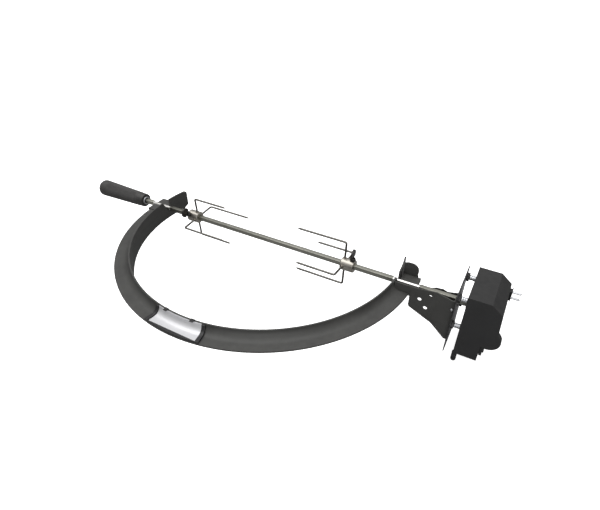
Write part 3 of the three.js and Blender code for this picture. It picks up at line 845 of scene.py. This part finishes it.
# ---------------------------------------------------------------- bracket and heat shield
@dataclass
class MotorBracket:
    """The two side plates that carry the heat shield, and their screws."""

    body: str = "ring_and_motor"
    head_radius: float = 3.4
    head_height: float = 2.2
    lip_radius: float = 2.5
    lip_height: float = 1.9
    seat: float = 347.8
    lip_screw: tuple[float, float, float] = (347.6, -33.3, 4.0)
    screws: tuple = (("front_upper", -26.0, 8.0), ("front_lower", -26.0, -50.0),
                     ("rear", 26.0, -22.0))

    def head(self, radius: float, height: float) -> bmesh.types.BMesh:
        """A domed screw head with a round socket, which faces -X.

        Args:
            radius: the head's radius.
            height: its height.

        Returns:
            The solid.
        """
        dome = [(-height * math.sin(math.radians(a)), radius * math.cos(math.radians(a)) ** 0.8)
                for a in range(0, 61, 10)]
        socket = radius * 0.36
        return turned([(0, 0), *dome, (-height, socket + 0.2), (-height * 0.95, socket),
                       (-height * 0.4, socket), (-height * 0.3, 0)], 36)

    def build(self) -> None:
        """Builds the plates and screws."""
        for node in ("bracket_front_plate", "bracket_rear_plate"):
            softened(node, POWDER_COAT, Rounding(0.35, 3, 20))
        for place, y, z in self.screws:
            head = moved(self.head(self.head_radius, self.head_height), shift(self.seat, y, z))
            complete(f"screw_head_{place}", [head], ZINC, self.body, (f"bracket_screw_{place}",))
        turn = Matrix.Rotation(math.radians(90), 4, "Z")
        head = moved(self.head(self.lip_radius, self.lip_height), shift(*self.lip_screw) @ turn)
        complete("screw_head_lip", [head], ZINC, self.body, ("bracket_lip_screw",))


@dataclass
class HeatShield:
    """The square sheet between the grill and the motor, with its nuts and spacers."""

    body: str = "ring_and_motor"
    y: float = 29.0
    z: float = 27.0
    nut_start: float = 352.2
    nut_length: float = 4.0
    nut_radius: float = 7.0
    spacer_start: float = 356.5
    spacer_end: float = 365.7
    spacer_radius: float = 4.2

    def nut(self) -> bmesh.types.BMesh:
        """A hexagon nut with its corners turned off.

        Returns:
            The solid.
        """
        solid = bmesh.new()
        bmesh.ops.create_cone(solid, cap_ends=True, segments=6, radius1=self.nut_radius,
                              radius2=self.nut_radius, depth=self.nut_length)
        ends = [e for e in solid.edges if abs(e.verts[0].co.z - e.verts[1].co.z) < 0.01]
        bmesh.ops.bevel(solid, geom=ends, offset=0.55, affect="EDGES", segments=2, profile=0.5,
                        material=-1)
        turn = Matrix.Rotation(math.radians(90), 4, "Y")
        return moved(outward(solid), turn)

    def spacer(self) -> bmesh.types.BMesh:
        """A round spacer with chamfered ends and one turned groove in the middle.

        Returns:
            The solid.
        """
        a, b, r = self.spacer_start, self.spacer_end, self.spacer_radius
        middle = (a + b) / 2
        return turned([
            (a, 0), (a, r - 0.5), (a + 0.5, r), (middle - 1.8, r), (middle - 1.5, r - 0.4),
            (middle + 1.5, r - 0.4), (middle + 1.8, r), (b - 0.5, r), (b, r - 0.5), (b, 0),
        ], 40)

    def build(self) -> None:
        """Builds the sheet, the nuts and the spacers."""
        softened("heat_shield", ZINC, Rounding(0.35, 2),
                 (BLACK_STEEL, lambda face: face.normal.x < 0.5))
        centre = self.nut_start + self.nut_length / 2
        for end, y in (("front", -self.y), ("rear", self.y)):
            for level, z in (("upper", self.z), ("lower", -self.z)):
                place = f"{end}_{level}"
                complete(f"hexagon_nut_{place}", [moved(self.nut(), shift(centre, y, z))],
                         BLACK_STEEL, self.body, (f"shield_nut_{place}",))
                complete(f"turned_spacer_{place}", [moved(self.spacer(), shift(0, y, z))],
                         ZINC, self.body, (f"motor_spacer_{place}",), Rounding(0.15, 2, 30))


# ---------------------------------------------------------------- motor
@dataclass
class GearMotor:
    """The boxed motor: its cover, peg, inlet, switch and gear train."""

    body: str = "ring_and_motor"
    inlet: tuple[float, float, float] = (420.5, 30.0, 17.0)
    pin_spacing: float = 11.2
    peg: tuple[float, float, float] = (368.6, -37.6, -73.3)
    peg_length: float = 19.3
    peg_radius: float = 4.2
    pin_radius: float = 1.9
    pin_span: tuple[float, float] = (-5.7, 14.6)

    def pin(self) -> bmesh.types.BMesh:
        """A round contact pin with a domed end.

        Returns:
            The solid.
        """
        inner, outer = self.pin_span
        radius, dome_length = self.pin_radius, 1.8
        dome = [(outer - dome_length + dome_length * math.sin(math.radians(a)),
                 radius * math.cos(math.radians(a))) for a in range(0, 90, 15)]
        return turned([(inner, 0), (inner, radius), *dome, (outer, 0)], 32)

    def peg_solid(self) -> bmesh.types.BMesh:
        """The locating peg under the cover, domed at its lower end.

        Returns:
            The solid.
        """
        end, radius, groove = -self.peg_length, self.peg_radius, self.peg_radius - 0.4
        dome = [(end + 4.0 * (1 - math.sin(math.radians(a))), radius * math.cos(math.radians(a)))
                for a in range(80, -1, -10)]
        solid = turned([(end, 0), *dome, (-6.0, radius), (-5.6, groove), (-5.2, radius),
                        (0, radius), (0, 0)], 40)
        return moved(solid, Matrix.Rotation(math.radians(-90), 4, "Y"))

    def build_outside(self) -> None:
        """Builds what shows of the motor."""
        softened("motor_housing", MOTOR_PLASTIC, Rounding(1.3, 4, 25))
        softened("motor_base_plate", BLACK_STEEL, Rounding(0.3))
        complete("domed_locating_peg", [moved(self.peg_solid(), shift(*self.peg))], BLACK_STEEL,
                 self.body, ("locating_peg",))
        softened("mains_inlet", SWITCH_PLASTIC, Rounding(0.5, 3))
        x, y, z = self.inlet
        for name, side in (("lower", -1), ("upper", 1)):
            pin = moved(self.pin(), shift(x, y, z + side * self.pin_spacing / 2))
            complete(f"contact_pin_{name}", [pin], ZINC, self.body, (f"inlet_pin_{name}",))
        softened("switch_bezel", MOTOR_PLASTIC, Rounding(0.4, 3))
        softened("switch_rocker", SWITCH_PLASTIC, Rounding(0.6, 3))

    def build_inside(self) -> None:
        """Finishes the gear train and the motor's core."""
        softened("drive_socket", TURNED_STAINLESS, Rounding(0.35, 2))
        softened("output_gear", NYLON, Rounding(0.12, 2))
        softened("idler_gear", NYLON, Rounding(0.12, 2))
        softened("motor_rotor", LAMINATIONS, Rounding(0.15, 2))
        softened("gearbox_plate", ZINC, Rounding(0.25, 2))
        softened("stator_core", LAMINATIONS, Rounding(0.3, 2))
        softened("stator_coil", COPPER, Rounding(1.2, 4))
        softened("idler_axle", STAINLESS_ROD, Rounding(0.3, 2))

    def build(self) -> None:
        """Builds the motor."""
        self.build_outside()
        self.build_inside()


# ---------------------------------------------------------------- spit and grip
@dataclass
class Spit:
    """The square bar with its two turned journals, the grip and its ferrule."""

    body: str = "spit"
    half: float = 4.0
    handle_end: float = -340.0
    motor_end: float = 380.0
    journal: float = 3.95
    left_journal: tuple[float, float] = (-290.0, -243.0)
    right_journal: tuple[float, float] = (242.5, 288.0)
    rounding: float = 0.45
    grip_start: float = -440.0
    grip_end: float = -312.0
    start_radius: float = 17.3
    end_radius: float = 13.8
    bore: float = 6.2
    bore_depth: float = 36.0
    ribs: int = 44
    rib_depth: float = 0.55

    def stretch(self, x0: float, x1: float) -> bmesh.types.BMesh:
        """A stretch of the square bar between two places."""
        h = self.half
        return bar((x0, -h, -h), (x1, h, h), self.rounding)

    def driven_end(self) -> bmesh.types.BMesh:
        """The bar's motor end, which tapers so that it finds its socket.

        Returns:
            The solid.
        """
        start, taper = self.right_journal[1], 5.0
        solid = self.stretch(start, self.motor_end)
        for vertex in solid.verts:
            if vertex.co.x > self.motor_end - 1.0:
                vertex.co.y *= 0.72
                vertex.co.z *= 0.72
        bmesh.ops.bisect_plane(solid, geom=everything(solid), dist=MERGE_DISTANCE,
                               plane_co=(self.motor_end - taper, 0, 0), plane_no=(1, 0, 0))
        for vertex in solid.verts:
            if start + 1.0 < vertex.co.x < self.motor_end - 1.0:
                reach = max(abs(vertex.co.y), abs(vertex.co.z))
                vertex.co.y *= self.half / reach
                vertex.co.z *= self.half / reach
        return solid

    def journal_solid(self, x0: float, x1: float) -> bmesh.types.BMesh:
        """A turned journal with a fine groove at each shoulder.

        Args:
            x0: where it starts.
            x1: where it ends.

        Returns:
            The solid.
        """
        r = self.journal
        return turned([
            (x0 - 1, 0), (x0 - 1, r - 0.3), (x0 + 0.8, r - 0.3), (x0 + 1.1, r),
            (x1 - 1.1, r), (x1 - 0.8, r - 0.3), (x1 + 1, r - 0.3), (x1 + 1, 0),
        ], 64)

    def grip_solid(self) -> bmesh.types.BMesh:
        """The grip: a blunt, tapering handle with ribs along it and a plain collar.

        Returns:
            The solid.
        """
        start, end = self.grip_start, self.grip_end
        radius = self.start_radius
        crown = [(start + 0.1, 3.5), (start + 0.45, 7.5)]
        rounding = arc((start + 8, radius - 7), 7, 186, 90, 12)
        dome = [*crown, *rounding]
        body = []
        steps = 26
        for i in range(steps + 1):
            x = start + 14 + (end - 16 - start - 14) * i / steps
            share = (x - start - 14) / (end - start - 14)
            body.append((x, radius + (self.end_radius + 0.3 - radius) * share))
        r = self.end_radius
        collar = [(end - 14, r - 0.6), (end - 12.4, r - 0.6), (end - 11.4, r + 0.35),
                  (end - 2, r), (end - 0.6, r - 0.4), (end, r - 1.6), (end, self.bore),
                  (end - self.bore_depth, self.bore), (end - self.bore_depth, 0)]
        solid = turned([(start, 0), *dome, *body, *collar], self.ribs * 4)
        ribbed_from, ribbed_to = start + 16, end - 17
        for vertex in solid.verts:
            x, y, z = vertex.co
            away = math.hypot(y, z)
            if away < self.bore + 2 or not ribbed_from < x < ribbed_to:
                continue
            fade = min(1.0, (x - ribbed_from) / 6, (ribbed_to - x) / 4)
            wave = 0.5 - 0.5 * math.cos(self.ribs * math.atan2(y, z))
            sink = self.rib_depth * fade * wave
            vertex.co.y *= (away - sink) / away
            vertex.co.z *= (away - sink) / away
        return solid

    def ferrule_solid(self) -> bmesh.types.BMesh:
        """The bright washer that closes the grip's rod end."""
        end, bore = self.grip_end, self.bore
        return turned([
            (end + 0.3, bore), (end + 0.3, 8.4), (end + 1.6, 8.4), (end + 2.3, 8.0),
            (end + 2.6, 7.4), (end + 2.6, bore + 0.3), (end + 2.3, bore), (end + 0.3, bore),
        ], 48)

    def build(self) -> None:
        """Builds the bar, the journals, the grip and the ferrule."""
        left, right = self.left_journal, self.right_journal
        solids = [self.stretch(self.handle_end, left[0]), self.stretch(left[1], right[0]),
                  self.driven_end()]
        complete("spit_square_bar", solids, STAINLESS, self.body, ("spit_rod",))
        for name, (x0, x1) in (("left", left), ("right", right)):
            complete(f"spit_{name}_journal", [self.journal_solid(x0, x1)], POLISHED, self.body)
        complete("spit_grip_ribbed", [self.grip_solid()], GRIP_PLASTIC, self.body,
                 ("spit_grip",))
        complete("grip_washer", [self.ferrule_solid()], ZINC, self.body, ("grip_ferrule",))


# ---------------------------------------------------------------- forks
@dataclass
class MeatFork:
    """A fork that slides on the spit: a hub, four pointed tines and their welds."""

    side: str
    x: float
    turn: float
    radius: float = 42.2
    long: float = 97.0
    short: float = 75.5
    rod: float = 1.9
    bend: float = 3.5
    tip: float = 7.0
    hub_radius: float = 11.5
    foot: float = 11.8

    @property
    def body(self) -> str:
        """The body that the fork is."""
        return f"{self.side}_fork"

    def tine(self, length: float) -> bmesh.types.BMesh:
        """A rod that leaves the hub, turns through a bend and runs to a sharp tip.

        Args:
            length: how far the tine runs along the spit.

        Returns:
            The solid, which rises along +Z and points along -X.
        """
        r, bend, top = self.rod, self.bend, self.radius
        path = [Vector((0, 0, self.foot)), Vector((0, 0, top - bend - 8))]
        radii = [r, r]
        for x, z in arc((-bend, top - bend), bend, 0, 90, 12):
            path.append(Vector((x, 0, z)))
            radii.append(r)
        path.append(Vector((-(length - self.tip), 0, top)))
        radii.append(r)
        for share in (0.35, 0.7, 0.92, 1.0):
            path.append(Vector((-(length - self.tip) - self.tip * share, 0, top)))
            radii.append(max(0.25, r * (1 - share ** 1.25)))
        return swept(path, radii, 20)

    def weld(self, turn: float) -> bmesh.types.BMesh:
        """The bead of weld round a tine's foot.

        Args:
            turn: the tine's angle about the spit, in degrees.

        Returns:
            The solid.
        """
        bead = turned([(self.hub_radius - 0.6, 0), (self.hub_radius - 0.6, 3.3),
                       (self.hub_radius + 0.15, 3.2), (self.hub_radius + 0.8, 2.6),
                       (self.hub_radius + 1.5, 2.0), (self.hub_radius + 1.7, 1.5),
                       (self.hub_radius + 1.7, 0)], 28)
        for vertex in bead.verts:
            around = math.atan2(vertex.co.y, vertex.co.z)
            ripple = 1 + 0.06 * math.sin(9 * around + turn)
            vertex.co.y *= ripple
            vertex.co.z *= ripple
        upright = Matrix.Rotation(math.radians(-90), 4, "Y")
        return moved(bead, about_x(turn) @ upright)

    def build(self) -> None:
        """Builds the fork."""
        mirrored = self.side == "left"
        facing = Matrix.Rotation(math.pi if mirrored else 0.0, 4, "Z")
        place = shift(self.x, 0, 0)
        softened(f"{self.side}_fork_hub", TURNED_STAINLESS, Rounding(0.4, 3))
        lengths = (self.short, self.long) if mirrored else (self.long, self.short)
        welds = []
        for index, where in enumerate(("top", "front", "bottom", "rear")):
            turn = self.turn + 90 * index
            matrix = place @ about_x(turn) @ facing
            tine = moved(self.tine(lengths[index % 2]), matrix)
            complete(f"{self.side}_pointed_tine_{where}", [tine], STAINLESS_ROD, self.body,
                     (f"{self.side}_tine_{where}",))
            welds.append(moved(self.weld(turn), place))
        complete(f"{self.side}_fork_welds", welds, WELD, self.body)
        softened(f"{self.side}_thumb_screw", THUMB_ZINC, Rounding(0.9, 4))


# ---------------------------------------------------------------- studio
@dataclass
class Studio:
    """The pale floor, the soft lights and the camera."""

    floor_height: float = -0.0935
    floor_size: float = 30.0
    floor_seen: Colour = (0.95, 0.95, 0.95)
    floor_bounce: Colour = (0.27, 0.27, 0.27)
    floor_lift: float = 0.8
    sky_low: Colour = (0.12, 0.12, 0.12)
    sky_high: Colour = (0.85, 0.85, 0.85)
    lamps: tuple = (
        ("soft_overhead", "SUN", (-0.35, -0.1, 2.0), (0, 0, 0), 1.5, 60),
        ("front_panel", "AREA", (0.75, -1.4, 0.35), (0.3, 0, 0), 6.0, 0.8),
    )
    camera_place: tuple[float, float, float] = (0.39095, -0.59352, 0.48203)
    camera_aim: tuple[float, float, float] = (-0.3888, 0.7076, -0.5900)
    lens: float = 27.3
    sensor: float = 36.0

    def build_floor(self) -> None:
        """Lays the floor, which shows white and throws back about a quarter of the light."""
        solid = bmesh.new()
        bmesh.ops.create_grid(solid, x_segments=2, y_segments=2, size=self.floor_size)
        bmesh.ops.translate(solid, vec=(0, 0, self.floor_height), verts=solid.verts)
        mesh = bpy.data.meshes.new("studio_floor")
        solid.to_mesh(mesh)
        solid.free()
        floor = bpy.data.objects.new("studio_floor", mesh)
        bpy.context.scene.collection.objects.link(floor)
        made = bpy.data.materials.new("pale_floor")
        made.use_nodes = True
        graph = ShaderGraph(made.node_tree)
        seen = graph.add("ShaderNodeLightPath").outputs["Is Camera Ray"]
        shader = made.node_tree.nodes["Principled BSDF"]
        graph.feed(shader.inputs["Base Color"],
                   graph.blend(seen, self.floor_bounce, self.floor_seen))
        graph.feed(shader.inputs["Emission Color"],
                   graph.blend(seen, (0.0, 0.0, 0.0), (1.0, 1.0, 1.0)))
        shader.inputs["Emission Strength"].default_value = self.floor_lift
        shader.inputs["Roughness"].default_value = 0.9
        shader.inputs["Specular IOR Level"].default_value = 0.1
        mesh.materials.append(made)

    def build_world(self) -> None:
        """Surrounds the scene with light that is brighter overhead than at the horizon."""
        world = bpy.data.worlds.new("studio_world")
        world.use_nodes = True
        bpy.context.scene.world = world
        graph = ShaderGraph(world.node_tree)
        place = graph.add("ShaderNodeTexCoord").outputs["Generated"]
        parts = graph.add("ShaderNodeSeparateXYZ", Vector=place)
        share = graph.ramp(parts.outputs["Z"], 0.0, 0.9)
        colour = graph.blend(share, self.sky_low, self.sky_high)
        ground = world.node_tree.nodes["Background"]
        graph.feed(ground.inputs["Color"], colour)
        ground.inputs["Strength"].default_value = 1.0

    def lamp(self, name: str, kind: str, place: Sequence[float], aim: Sequence[float],
             energy: float, size: float) -> None:
        """Adds a light.

        Args:
            name: the light's name.
            kind: AREA or SUN.
            place: where it stands.
            aim: the point that it faces.
            energy: its strength.
            size: an area light's side in metres, or a sun's angle in degrees.
        """
        data = bpy.data.lights.new(name, kind)
        data.energy = energy
        if kind == "SUN":
            data.angle = math.radians(size)
        else:
            data.shape = "SQUARE"
            data.size = size
        light = bpy.data.objects.new(name, data)
        bpy.context.scene.collection.objects.link(light)
        light.location = place
        towards = Vector(aim) - Vector(place)
        light.rotation_euler = towards.to_track_quat("-Z", "Y").to_euler()

    def build(self) -> None:
        """Builds the studio."""
        self.build_floor()
        self.build_world()
        for values in self.lamps:
            self.lamp(*values)
        self.build_camera()

    def build_camera(self) -> None:
        """Places the camera and sets plain, unfiltered colours."""
        bpy.context.scene.view_settings.view_transform = "Standard"
        data = bpy.data.cameras.new("camera")
        data.lens = self.lens
        data.sensor_width = self.sensor
        data.clip_start = 0.01
        data.clip_end = 200.0
        camera = bpy.data.objects.new("camera", data)
        bpy.context.scene.collection.objects.link(camera)
        camera.location = self.camera_place
        aim = Vector(self.camera_aim)
        camera.rotation_euler = aim.to_track_quat("-Z", "Y").to_euler()
        bpy.context.scene.camera = camera


def main() -> None:
    """Builds the studio and every sub-assembly in order."""
    logging.basicConfig(level=logging.INFO, format="%(name)s %(message)s")
    Studio().build()
    CovedRing().build()
    MotorBracket().build()
    HeatShield().build()
    GearMotor().build()
    Spit().build()
    MeatFork("left", -170.4, 3.1).build()
    MeatFork("right", 153.5, -5.3).build()


if __name__ == "__main__":
    main()
